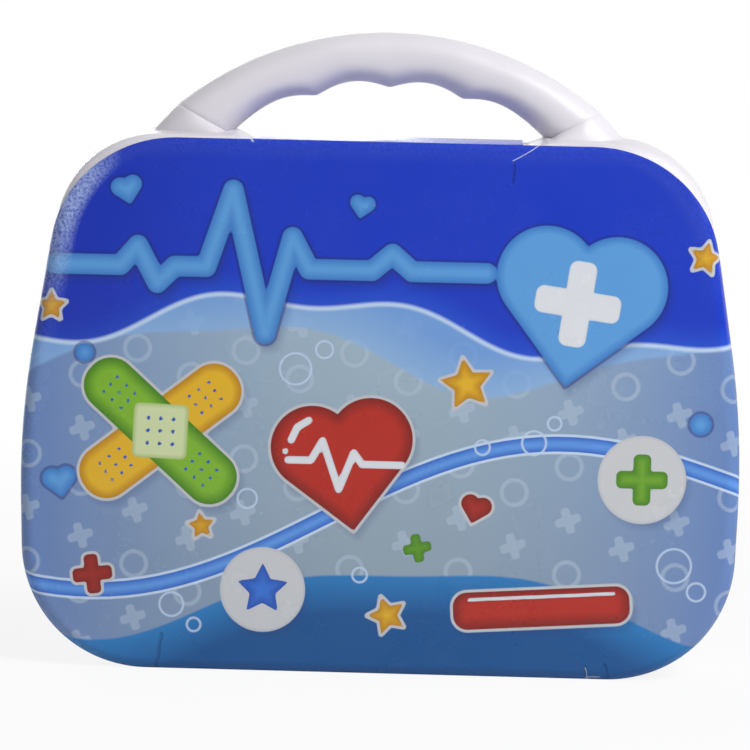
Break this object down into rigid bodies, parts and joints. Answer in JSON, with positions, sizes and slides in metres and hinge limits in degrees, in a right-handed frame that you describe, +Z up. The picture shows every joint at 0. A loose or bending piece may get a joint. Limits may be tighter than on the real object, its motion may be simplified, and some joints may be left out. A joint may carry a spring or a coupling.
{
  "type": "toy doctor case",
  "caption": "Two-shell toy carrying case with an arch handle, a printed card front, a base hinge and a formed tray of play medical instruments.",
  "frame": {"origin": "centre of the flat base, on the surface that the case stands on, in the parting plane of the two shells", "axes": "+X to the right seen from the printed front, +Y from the front to the back, +Z up towards the handle"},
  "size_m": [0.2526, 0.0556, 0.2252],
  "materials": {
    "white_shell": "moulded white polypropylene, satin",
    "printed_card": "printed card with a glossy film",
    "tray_sheet": "white vacuum-formed sheet",
    "pin": "plain plastic rod",
    "red_plastic": "moulded red plastic",
    "blue_plastic": "moulded blue plastic",
    "yellow_plastic": "moulded yellow plastic",
    "green_plastic": "moulded green plastic",
    "light_green_plastic": "moulded light green plastic",
    "toy_white": "moulded white plastic",
    "seal_rubber": "black rubber",
    "hose_vinyl": "soft white vinyl hose"
  },
  "bodies": {
    "base": {"rear_shell": "white_shell", "insert_tray": "tray_sheet", "hinge_pin_left": "pin", "hinge_pin_right": "pin", "hammer_head": "red_plastic", "hammer_handle": "red_plastic", "syringe_barrel": "toy_white", "syringe_nozzle": "blue_plastic", "thermometer_body": "green_plastic", "thermometer_pad": "light_green_plastic", "thermometer_dial": "toy_white", "capsule_1_blue": "blue_plastic", "capsule_1_white": "toy_white", "capsule_2_blue": "blue_plastic", "capsule_2_white": "toy_white", "stethoscope_yoke": "blue_plastic", "chest_piece": "yellow_plastic", "chest_disc": "blue_plastic", "stethoscope_hose": "hose_vinyl"},
    "lid": {"front_shell": "white_shell", "front_card": "printed_card"},
    "plunger": {"syringe_plunger": "blue_plastic", "syringe_seal": "seal_rubber"},
    "pointer": {"thermometer_pointer": "red_plastic"},
    "ear_left": {"ear_tube_left": "blue_plastic", "ear_tip_left": "yellow_plastic"},
    "ear_right": {"ear_tube_right": "blue_plastic", "ear_tip_right": "yellow_plastic"}
  },
  "joints": [
    {"name": "lid_hinge", "type": "hinge", "parent": "base", "child": "lid", "pos_m": [0, 0, 0.0027], "axis": [1, 0, 0], "range_deg": [0, 150]},
    {"name": "plunger_slide", "type": "slide", "parent": "base", "child": "plunger", "axis": [1, 0, 0], "range_m": [0, 0.028]},
    {"name": "pointer_turn", "type": "hinge", "parent": "base", "child": "pointer", "pos_m": [0.045, 0.0065, 0.026], "axis": [0, 1, 0], "continuous": true},
    {"name": "ear_left_hinge", "type": "hinge", "parent": "base", "child": "ear_left", "pos_m": [-0.0135, 0.0125, 0.092], "axis": [0, -1, 0], "range_deg": [-4, 6]},
    {"name": "ear_right_hinge", "type": "hinge", "parent": "base", "child": "ear_right", "pos_m": [0.0035, 0.0125, 0.092], "axis": [0, 1, 0], "range_deg": [-4, 6]}
  ]
}
